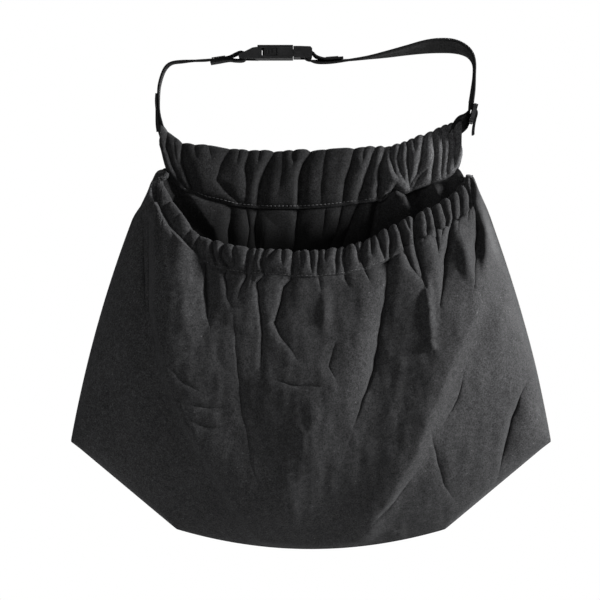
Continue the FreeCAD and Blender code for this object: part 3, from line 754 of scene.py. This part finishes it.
FRONT_FOLDS = [
    # the two shoulders where the face turns to the sides
    (4.5, 34, 10, 0.6, 0.5, (-125.5, -30), (-124, -60), (-123.6, -103), (-113, -158), (-99, -193),
     (-72, -239), (-43, -288)),
    (5, 2.6, -6, 0.6, 0.1, (-130, -32), (-128.5, -70), (-128.5, -104), (-121, -140)),
    (22, 8, 9, 0.3, 0.6, (143, -60), (137, -92), (114, -140), (95, -183), (82, -220), (63, -252),
     (39, -292)),
    # left side zone
    (5, 4, -4, 0.4, 0.1, (-134, -36), (-133, -70), (-131, -108)),
    (13, 10, 3.2, 0.2, 0.1, (-150, -118), (-139, -177), (-126, -231)),
    (9, 9, -2, 0.2, 0.1, (-166, -140), (-160, -190), (-152, -235)),
    # soft fold beside the slit, and the broad hollow under the left half of the rim
    (14, 10, 2, 0.2, 0.1, (-104, -64), (-101, -100), (-96, -150)),
    (24, 20, -2.8, 0.2, 0.1, (-62, -110), (-55, -180), (-42, -250)),
    (4, 4.4, 2.8, 0.6, 0.2, (10, -92), (10.5, -104), (9, -122)),
    # the deep valley right of the middle, and the broad slope that runs down from it
    (6, 17, -12, 0.4, 0.05, (61, -64), (60, -86), (56, -110), (49, -153), (33, -198)),
    (22, 13, 1, 0.2, 0.1, (46, -96), (27, -150), (-3, -203), (-12, -236)),
    # right half
    (4.5, 3.2, 5, 0.4, 0.5, (91.5, -80), (94, -106), (95, -134)),
    (2.6, 2.6, 1.6, 0.6, 0.4, (94.5, -132), (98, -137)),
    (6.5, 6, 6, 0.4, 0.1, (118, -40), (124, -62), (131, -86), (128, -104)),
    (3, 5, -9, 0.3, 0.15, (131, -18), (133.5, -36), (131.5, -57), (129.5, -88)),
    (3.6, 6, 6.5, 0.3, 0.15, (135, -18), (139.5, -38), (140, -57), (137, -84)),
    (9, 9, 4.2, 0.2, 0.1, (156, -92), (149, -118), (143, -146)),
    (2.4, 6, -7, 0.2, 0.1, (174, -160), (160, -192), (154, -220), (149, -241)),
    (8, 8, 2.4, 0.2, 0.2, (168, -170), (178, -200)),
    # thin creases and small wrinkles
    (1.6, 3, -1.8, 0.3, 0.3, (84, -232), (66, -257), (44, -282)),
    (1.6, 3, -1.5, 0.2, 0.1, (92, -190), (98, -216), (106, -244), (118, -262)),
    (2, 3, -1.6, 0.2, 0.2, (-102, -179), (-84, -182), (-66, -182)),
    (1.8, 2.6, -1, 0.2, 0.2, (-113, -150), (-98, -164), (-86, -172)),
    (1.8, 2.6, -1, 0.2, 0.2, (-98, -192), (-82, -198), (-70, -198)),
    (2.2, 3.2, -1.6, 0.2, 0.2, (-31, -161), (-10, -165), (13, -166)),
    (3, 3.4, 1, 0.2, 0.1, (-15, -189), (-6, -203), (-8, -228)),
    (3, 3, 0.7, 0.2, 0.4, (7, -186), (-5, -203)),
    (10, 8, 1.8, 0.2, 0.2, (-22, -226), (-17, -256), (-14, -284)),
    (2.5, 3, 1.4, 0.2, 0.2, (60, -283), (78, -288)),
    (5, 6, -1.4, 0.2, 0.2, (20, -128), (14, -150), (22, -166)),
    (8, 9, 2, 0.2, 0.1, (70, -150), (64, -180), (52, -210)),
    (8, 9, -2.2, 0.2, 0.1, (122, -150), (116, -176), (102, -200)),
]


def inset_at(x, z, u):
    """Millimetres inside the outline. Those above the bottom count for more."""
    return np.minimum(half_width(z) - np.abs(x), (z - bottom_edge(u)[1][None, :]) * 1.3)


def join_seam(y, seam, u, v):
    """Draws the depth y in to the seam along the panel's edges."""
    sewn = on_seam(u[None, :], v)
    return y * (1.0 - sewn) + seam * sewn


RIM_KEEP = 26.0  # how far below the rim the cloth still keeps to the rim's depth


def front_cloth():
    columns, rows = 700, 470
    u = np.linspace(-1.0, 1.0, columns)
    v = np.linspace(0.0, 1.0, rows)[:, None] ** 1.12
    centre, half, down, out = rim_frames(u)
    flush = flush_share(centre[:, 0])
    top = centre + down * (half * (0.90 - 0.13 * flush))[:, None]
    top = top + out * (0.6 + (RIM_DEEP - 0.2) * flush)[:, None]
    x, z = patch(top[:, 0][None, :], top[:, 2][None, :], u[None, :], v)
    y = SEAM_Y - front_depth(x, z)
    fall = np.hypot(x - top[:, 0], z - top[:, 2])
    y += (top[:, 1] - y[0])[None, :] * np.exp(-(fall / RIM_KEEP) ** 1.5)
    inset = inset_at(x, z, u)
    height = fold_heights(x, z, FRONT_FOLDS, 0.45)
    uneven = 1.2 * ripple(x, z * 0.7, 11, 74.0) + 0.35 * ripple(x, z, 12, 21.0)
    height += uneven + 0.12 * ripple(x, z, 13, 8.0)
    height += 0.5 * np.abs(ripple(x, z * 0.8, 14, 46.0))
    pleats = fold_heights(x, z, RIM_FOLDS, RIM_SLIT) - rim_level(x) * np.exp(-(fall / 24.0) ** 2)
    pleats = pleats * (1.0 - 0.45 * (1.0 - flush[None, :]) * (1.0 - smooth(1.0, 6.0, fall)))
    y -= height * smooth(0.0, 8.0, inset) + pleats * smooth(0.0, 8.0, inset + fall * 0.2)
    y = join_seam(np.minimum(y, SEAM_Y + 0.5), seam_y(x, z) - 0.3, u, v)
    points = np.stack([x, y, z], axis=-1)
    # the seam allowance turns in to the casing, so that no gap shows along the seam
    tucked = centre + down * (half * 0.5)[:, None]
    lip = points[0] * 0.9 + tucked * 0.1
    points = np.concatenate([tucked[None], lip[None], points])
    mesh = grid_mesh("front_cloth", points, points[:, :, (0, 2)] * MM)
    piece = add_piece("front_cloth", mesh, "pouch", "canvas_front", ("front_panel",), CLOTH_WALL)


# ---- waistband

BAND_END = 121.5
BAND_TOP = [
    (-122, 45), (-118, 40.5), (-112, 35), (-105.5, 30.4), (-99.7, 28.8), (-92, 27), (-85, 27),
    (-73.5, 24.8), (-64.8, 24.2), (-50.3, 23), (-30, 22.6), (-1, 23.2), (30, 24.2), (50, 26.3),
    (60.7, 27.4), (71.5, 29), (76, 30.6), (83, 33), (93, 37), (100, 40.5), (110, 44.5), (117, 46.5),
    (122, 47.5),
]
BAND_LOW = [
    (-122, 30), (-120, 23), (-118, 14.8), (-115.7, 7.5), (-110, -1.2), (-103, -8.6), (-93.6, -11),
    (-88, -14), (-72, -18), (-60.8, -21), (-43, -22.8), (-11, -23.2), (11, -22), (36, -19), (51.5, -17),
    (60.7, -14.5), (68.4, -11.5), (76, -11), (82, -8.5), (94.6, -4.4), (110, 1.7), (116, 6),
    (119.5, 12), (122, 22),
]
BAND_FOLDS = [
    (1.8, 3, -3.4, 0.7, 0.7, (-116.6, 38), (-116.4, 25), (-112.8, 13), (-107, 0), (-101, -8)),
    (2.2, 2.2, -1.2, 0.6, 0.3, (-111, 35), (-109, 20), (-105, 4)),
    (2, 4, -5, 0.8, 0.7, (-104, 31), (-103.3, 13.3), (-99.7, 1.7), (-94.6, -10)),
    (2.4, 2.4, -1.4, 1, 0.2, (-94, 28), (-91.5, 17)),
    (3, 3, -1, 1, 0.2, (-83, 27), (-80, 14)),
    (4, 5.5, -3, 0.7, 0.4, (-65.5, 25), (-72, 12), (-76.2, 0)),
    (2, 3, -2.6, 0.4, 0.8, (-75, -1), (-68, -9), (-63.3, -14), (-58, -19)),
    (2.2, 2.2, -1.2, 1, 0.2, (-58, 24), (-60, 12)),
    (3, 4.5, -2.8, 0.8, 0.5, (-49.5, 24), (-53, 9), (-51.5, -4), (-53, -18)),
    (2, 2, -1.2, 1, 0.2, (-41, 23), (-43, 12)),
    (2.6, 5.5, -4.4, 0.8, 0.8, (-29.5, 23), (-37, 7.5), (-41.5, -5.6), (-43, -20)),
    (3, 3, -1.2, 1, 0.3, (-22, 23), (-23, 6), (-27, -12)),
    (1.8, 1.8, -2, 1, 0.2, (-13.6, 23), (-14.5, 12)),
    (1.8, 5, -4.8, 0.9, 0.9, (0, 24), (-6.6, 13), (-9.5, 0), (-10.4, -20)),
    (3.5, 3.5, -1.3, 1, 0.5, (12, 24), (9, 2), (8, -18)),
    (2.8, 4.6, -3.2, 0.8, 0.7, (35, 25), (32, 13), (28.4, 1), (25.2, -18)),
    (2, 2, -1.4, 1, 0.2, (44, 26), (41, 12)),
    (2.4, 4.6, -4.6, 0.8, 0.9, (52.4, 27), (48.4, 14.8), (43, -0.6), (38, -18)),
    (1.6, 3.2, -6, 1, 0.9, (60.4, 28), (57.6, 14.8), (54.6, -3.7), (53, -17)),
    (1.8, 2.6, -3.6, 1, 0.3, (65.4, 28), (64.4, 16.3), (66.5, 7), (70.6, 0)),
    (1.8, 2.6, -3.6, 1, 0.3, (72.4, 30), (70.6, 18), (72.3, 5.6), (76.4, -3)),
    (1.4, 2, -3.6, 1, 0.5, (77.8, 32), (78.2, 14.8), (79, -5)),
    (1.6, 1.8, -2.6, 1, 0.2, (83.4, 33), (83.6, 22)),
    (1.8, 3, -4.2, 1, 0.4, (91.6, 37), (88.4, 14.8), (85.2, 4), (79.4, -7)),
    (1.5, 2, -2.6, 0.3, 0.6, (94.6, 11), (87, -0.6), (81, -9)),
    (1.9, 3.4, -4.8, 1, 0.6, (98.8, 40), (100, 21), (97.8, 8.6), (95.8, -5)),
    (1.8, 2.6, -3.2, 1, 0.5, (105, 43), (106.8, 24), (104.8, 2)),
    (1.7, 2.4, -3.4, 1, 0.5, (110.6, 45), (112, 24), (109.4, 3)),
    (1.6, 2.2, -3.2, 1, 0.4, (115.6, 46), (116.6, 28), (115.4, 10)),
    (2.6, 2.6, 1.4, 0.2, 0.3, (60, 20), (65, 4), (76, -6)),
    # the pucker where the seam is pulled up
    (1.6, 1.8, -2.4, 0.6, 0.6, (58, -16), (62, -11), (68, -8.5), (72, -11.5)),
    (2.4, 2.4, 1, 0.5, 0.5, (60, -9), (67, -4.5), (74, -7)),
]
CUFFS = [(-120.5, 42.0, 5.0), (120.0, 43.5, 2.6)]  # x, z and how far each bulges round its strap
BAND_STITCH_UP = 1.9  # how far the stitch row is above the hem


def band_pucker(x):
    """The seam rises in a small arch where one gather is caught in it."""
    return 3.4 * np.exp(-((x - 67.5) / 3.6) ** 2) - 1.6 * np.exp(-((x - 57.0) / 3.4) ** 2)


def band_low(x):
    return curve_through(BAND_LOW, x) + band_pucker(x)


def band_middle(x):
    """The Y of the sleeve's middle, which moves back a little towards its right end."""
    return -3.5 + 0.9 * smooth(86.0, 124.0, x)


def band_height(x, z):
    return 1.45 * fold_heights(x, z, BAND_FOLDS, 0.2) + 2.4


def band_cloth():
    columns, rows = 1000, 84
    turn = once_round(rows)
    share = 0.5 - 0.5 * boxy(np.cos(turn), 0.9)  # 0 at the hem, 1 at the top edge
    x = np.linspace(-1.0, 1.0, columns)[None, :] * BAND_END + 0.0 * turn
    top, low = curve_through(BAND_TOP, x), band_low(x)
    z = low + (top - low) * share
    height = band_height(x, z) + 0.25 * ripple(x, z * 0.4, 31, 20.0) + 0.06 * ripple(x, z, 32, 6.0)
    height = hold_depth(height, 3.4)
    hem = np.exp(-((z - low) / 3.2) ** 2)
    height = height * (1.0 - 0.45 * hem) - 0.6 * np.exp(-((z - low - BAND_STITCH_UP) / 1.1) ** 2)
    z = z + (height * 0.45 - 0.3) * smooth(0.80, 1.0, share)
    bulge = np.abs(np.sin(turn)) ** 0.55
    cuff = sum(reach * np.exp(-((x - cx) ** 2 + (z - cz) ** 2) / 8.0 ** 2) for cx, cz, reach in CUFFS)
    half = (2.3 + 1.2 * (1.0 - hem)) * np.maximum(bulge, 0.25) + cuff * bulge ** 0.6
    middle = band_middle(x)
    front = middle - half - height * bulge
    rear = np.minimum(middle + half + 0.5 * height * bulge, np.maximum(middle + 4.4, middle + half))
    y = np.where(np.sin(turn) > 1e-6, front, np.where(np.sin(turn) < -1e-6, rear, middle - height * 0.3))
    points = np.stack([x, y, z], axis=-1)
    uv = grid_uv(x * MM * 1.4, turn * 0.014)
    mesh = grid_mesh("waistband_gathers", points[:, ::-1], uv[:, ::-1], wrap_rows=True)
    piece = add_piece("waistband_gathers", mesh, "pouch", "canvas_band", ("waistband_casing",), SLEEVE_WALL)


def band_tape():
    """The webbing inside the waistband, towards the rear so that the gathers have room in front of it."""
    low, high = cad_mm("waistband_webbing")
    x = np.linspace(low[0], high[0], 240)
    turn, wide, deep = tape_section(24, 12.0, 0.8)
    z = ((curve_through(BAND_TOP, x) + band_low(x)) / 2.0)[None, :] + wide
    y = -0.9 + deep + 0.25 * np.sin(x * 0.4)[None, :]
    points = np.stack(np.broadcast_arrays(x[None, :], y, z), axis=-1)
    mesh = tube_mesh("waistband_tape", points, grid_uv(turn * 0.008, x[None, :] * MM))
    add_piece("waistband_tape", mesh, "pouch", "webbing", ("waistband_webbing",))


# ---- back of the pouch

BACK_FOLDS = [
    # left: a hump that shades the pocket beside the rim's left arm
    (7, 20, 4.6, 0.7, 0.1, (-103, 0), (-99, -10), (-90, -23), (-78, -38), (-70, -60)),
    (5, 4, -3.5, 0.8, 0.2, (-112, 2), (-107, -12), (-98, -28), (-88, -42)),
    (3, 4.4, -3.4, 0.8, 0.2, (-63, -20), (-66, -40), (-68, -66)),
    (3, 4, -2.4, 0.8, 0.2, (-53, -22), (-50, -40), (-52, -60)),
    (2.6, 4.4, -3.2, 0.8, 0.2, (-43, -22), (-45, -40), (-44, -66)),
    (2.4, 5, -4.2, 0.9, 0.2, (-10.4, -22), (-13, -50), (-16, -90)),
    (4, 4, -1.6, 0.8, 0.2, (12, -22), (8, -50)),
    (3, 5, -3, 0.8, 0.2, (25, -20), (20, -44), (10, -70)),
    (3, 6, -4.4, 0.8, 0.2, (38, -18), (30, -40), (20, -70)),
    (2.2, 4, -5, 0.9, 0.2, (53, -16), (50, -34), (44, -60)),
    # right: a raised flap under the pucker, then a pocket
    (13, 1.4, 9, 0.9, 0.6, (70, -7), (77, -20), (85, -36)),
    (5, 5, -4, 0.9, 0.4, (84, -8), (88, -22), (94, -36)),
    (4.4, 9, 8, 0.9, 0.4, (98, -3), (103, -12), (110, -26)),
    # long soft folds down the rear
    (20, 30, -2.4, 0.2, 0.2, (-120, -60), (-110, -150), (-70, -250)),
    (30, 20, -2.4, 0.2, 0.2, (120, -70), (100, -160), (60, -255)),
    (16, 22, 3.5, 0.2, 0.1, (-40, -70), (-46, -130), (-30, -230)),
    (18, 16, -4, 0.2, 0.1, (30, -70), (44, -120), (60, -210)),
    (14, 18, 4, 0.2, 0.1, (-96, -70), (-120, -150), (-150, -210)),
    (14, 18, 4, 0.2, 0.1, (95, -60), (118, -130), (140, -200)),
]


BAND_JOIN = 112.0  # up to this far from the middle, the back hangs from the waistband's hem


def back_cloth():
    columns, rows = 620, 420
    u = np.linspace(-1.0, 1.0, columns)
    v = np.linspace(0.0, 1.0, rows)[:, None] ** 1.25
    top_x = u * CLOTH_TOP[0]
    reach = np.abs(top_x)
    corner = 9.0 - 18.0 * smooth(118.0, CLOTH_TOP[0], reach)
    corner = np.minimum(corner, band_low(np.clip(top_x, -118, 118)) + 0.6)
    top_z = np.where(reach < BAND_JOIN, band_low(top_x) + 0.6, corner)
    x, z = patch(top_x[None, :], top_z[None, :], u[None, :], v)
    fall = top_z[None, :] - z
    height = fold_heights(x, z, BACK_FOLDS) + ripple(x, z * 0.6, 21, 80.0)
    height += 0.3 * ripple(x, z, 22, 24.0)
    height += 0.6 * np.abs(ripple(x, z * 0.8, 23, 36.0))
    y = -2.0 - height * smooth(0.0, 18.0, inset_at(x, z, u)) * smooth(-1.0, 5.0, fall)
    y = join_seam(np.clip(y, -12.0, 4.0) + seam_y(x, z) + 1.7, seam_y(x, z), u, v)
    points = np.stack([x, y, z], axis=-1)
    mesh = grid_mesh("back_cloth", points, points[:, :, (0, 2)] * MM)
    piece = add_piece("back_cloth", mesh, "pouch", "canvas_back", ("back_panel",), CLOTH_WALL)


# ---- stitches

STITCH_LONG, STITCH_GAP = 2.5, 0.7
STITCH_SIDES = 6
STITCH_RINGS = [(0.0, 0.25), (0.12, 0.8), (0.35, 1.0), (0.65, 1.0), (0.88, 0.8), (1.0, 0.25)]


def stitch_row(name, path, lift, stands_for, radius=0.33):
    """Separate stitches along a path of points (in millimetres), each a small pinched lozenge of thread."""
    at = length_along(path)
    verts, faces, sides = [], [], STITCH_SIDES
    for s in np.arange(0.6, at[-1] - STITCH_LONG, STITCH_LONG + STITCH_GAP):
        a, b = (np.array([np.interp(t, at, path[:, k]) for k in range(3)]) for t in (s, s + STITCH_LONG))
        along = (b - a) / np.linalg.norm(b - a)
        up = lift - along * np.dot(lift, along)
        up /= np.linalg.norm(up)
        side = np.cross(along, up)
        base = len(verts)
        for share, size in STITCH_RINGS:
            middle = a + (b - a) * share + up * (0.22 * math.sin(math.pi * share))
            for k in range(sides):
                turn = 2 * math.pi * k / sides
                verts.append(middle + (up * math.cos(turn) * 0.8 + side * math.sin(turn)) * radius * size)
        last = len(verts) - sides
        for ring in range(base, last, sides):
            for k in range(sides):
                p, q = ring + k, ring + (k + 1) % sides
                faces.append((p, q, q + sides, p + sides))
        faces.append(tuple(base + k for k in reversed(range(sides))))
        faces.append(tuple(last + k for k in range(sides)))
    mesh = bpy.data.meshes.new(name)
    mesh.from_pydata([tuple(p * MM) for p in verts], [], faces)
    add_piece(name, mesh, "pouch", "thread", stands_for)


def band_stitches():
    x = np.linspace(-103.0, 114.0, 1200)
    z = band_low(x) + BAND_STITCH_UP
    y = band_middle(x) - 2.75 - (np.maximum(band_height(x, z), -3.0) * 0.62 - 0.6)
    path = np.stack([x, y, z], axis=-1)
    stitch_row("waistband_stitches", path, np.array((0.0, -1.0, 0.0)), ("waistband_stitching",))


def rim_stitches():
    centre, half, down, out = rim_frames(np.linspace(-0.88, 0.44, 1100))
    path = centre + down * (half * 0.86)[:, None]
    height = rim_height(path) - rim_level(path[:, 0])
    path = path + out * (2.9 + height * 0.55)[:, None]
    stitch_row("rim_stitches", path, np.array((0.0, -1.0, -0.2)), ("rim_stitching",), radius=0.26)


# ---- webbing

BELT_Y = -3.5
STRAP_WIDE = 25.0
SPLINE_STEPS = 10


def strap(name, control, thick, stands_for=(), bunched=1.0):
    """Webbing along control points (x, z, twist in degrees). At twist 0 its width lies along Y.

    bunched is the share of its width left at the start, where it is squeezed into the waistband.
    """
    x, z, twist = spline_points(control, SPLINE_STEPS).T
    path, twist = np.stack([x, np.full_like(x, BELT_Y), z], axis=-1), np.radians(twist)
    along = np.gradient(path, axis=0)
    along /= np.linalg.norm(along, axis=1)[:, None]
    flat = np.array((0.0, 1.0, 0.0)) - along * along[:, 1:2]
    flat /= np.linalg.norm(flat, axis=1)[:, None]
    width = flat * np.cos(twist)[:, None] + np.cross(along, flat) * np.sin(twist)[:, None]
    normal = np.cross(along, width)
    half, lip = STRAP_WIDE / 2.0, thick / 2.0
    pull = 1.0 - (1.0 - bunched) * (1.0 - smooth(0.0, 1.0, np.arange(len(path)) / (SPLINE_STEPS * 3.0)))
    section = []
    for side in (1, -1):
        for w in np.linspace(-half + lip * 0.8, half - lip * 0.8, 9) * side:
            edge = abs(w) / half
            section.append((w, side * lip * (1.0 - 0.10 * (1 - edge) + 0.08 * (edge > 0.8))))
        section.append((side * half, 0.0))
    section = np.array(section)
    wide, deep = section[:, 0][:, None, None], section[:, 1][:, None, None]
    points = path[None] + (width * pull[:, None])[None] * wide + normal[None] * deep
    uv = grid_uv(length_along(section)[:, None] * MM, length_along(path)[None, :] * MM)
    mesh = tube_mesh(name, points, uv)
    return add_piece(name, mesh, None, "webbing", stands_for)


def bend_at_waist(piece):
    """Webbing between the waistband and the belt, with its placement baked into its mesh."""
    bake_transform(piece)


def bend_at_plug(piece):
    """The right strap or its stitches, with the placement baked into the mesh."""
    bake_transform(piece)


LEFT_STRAP = [
    (-119.4, 35, 26), (-120.8, 40, 18), (-121.7, 46, 8), (-122.5, 53, 3), (-122.9, 64, 1), (-122.3, 75, 0),
    (-119.6, 85, 0), (-116.2, 91, 0), (-111.5, 94, 1), (-104, 95, 1), (-96, 95.6, 3), (-84, 96.2, 4.5),
    (-75, 97.2, 2), (-66, 98.5, 1),
    # round the buckle housing's bar, and back
    (-61, 100.6, 0), (-56.6, 102.3, 0), (-53.4, 101.2, 0), (-52.7, 99, 0), (-53.6, 96.7, 0),
    (-56.2, 95.8, 0), (-61, 95.9, 0), (-66, 96.4, 0.5), (-75, 95.1, 1.5), (-81, 94.2, 2),
]
LEFT_LAP = [
    (-122.2, 39, 18), (-123, 43, 12), (-123.7, 47.5, 7), (-124.4, 54, 3), (-124.8, 62, 1), (-124.5, 69, 1),
]
RIGHT_FOOT = [
    (114.5, 35.5, -58), (118.2, 41, -48), (122.2, 46, -32), (125.8, 50.5, -14), (128.2, 56.5, 0),
    (129.6, 64, 4),
]
RIGHT_UPPER = [
    (129.3, 62, 4), (130.7, 72, 3), (131.7, 84, 0), (131.6, 93.5, 1), (128.6, 100.4, 8), (122.6, 105, 16),
    (114, 107.6, 22), (103, 108, 23), (92, 107, 20), (78, 104.4, 13), (62, 101.2, 6.5), (46, 98.4, 0),
    (30, 96.3, -3.5), (16, 95.2, -8), (5, 94.9, -7),
    # round the plug's bar, and back
    (-1, 96.2, -2), (-3.7, 97.6, 0), (-4.5, 99.8, 0), (-3.4, 102.1, 0), (-1, 102.9, 0), (1.5, 101.6, 0),
    (4.6, 98.8, 0), (11, 97.1, 1), (19, 97.6, 2), (26, 98.3, 3),
]


def belt_straps():
    bend_at_waist(strap("left_strap", LEFT_STRAP, 1.9, ("belt_left_webbing",), bunched=0.4))
    bend_at_waist(strap("left_lap", LEFT_LAP, 1.6, ("belt_left_lap",), bunched=0.5))
    bend_at_waist(strap("right_strap_foot", RIGHT_FOOT, 1.8, bunched=0.4))
    bend_at_plug(strap("right_strap", RIGHT_UPPER, 1.9, ("belt_right_webbing",)))


def right_box_stitch():
    """The stitches in the right strap, copied from the CAD node in thread, with the placement baked into
    the mesh.
    """
    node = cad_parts["belt_right_box_stitch"]
    mesh = node.data.copy()
    mesh.materials.clear()
    stitches = add_piece("right_box_stitch", mesh, None, "thread", ("belt_right_box_stitch",))
    stitches.matrix_world = node.matrix_world.copy()
    bend_at_plug(stitches)


# ---- hardware

BEVEL_ANGLE = math.radians(35.0)
HARDWARE = [
    # CAD node, look, and how far its edges are softened, in millimetres
    ("belt_left_box_stitch", "thread", 0.0),
    ("buckle_housing", "buckle_plastic", 0.5),
    ("buckle_plug", "buckle_plastic", 0.4),
    ("latch_arm_front", "latch_plastic", 0.3),
    ("latch_arm_back", "latch_plastic", 0.3),
    ("belt_slider", "slider_plastic", 0.4),
    ("belt_tail", "webbing", 0.0),
]


def dress(node, slot_name, bevel):
    """A CAD node keeps its shape, with softened edges and its own material."""
    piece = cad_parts[node]
    piece.data.materials.clear()
    piece.data.materials.append(LOOKS[slot_name])
    if bevel:
        soft = piece.modifiers.new("soft edges", "BEVEL")
        soft.width = bevel * MM
        soft.segments = 3
        soft.limit_method = "ANGLE"
        soft.angle_limit = BEVEL_ANGLE


rim_cloth()
rim_tape()
front_cloth()
back_cloth()
band_cloth()
band_tape()
band_stitches()
rim_stitches()
belt_straps()
right_box_stitch()
for hardware_row in HARDWARE:
    dress(*hardware_row)
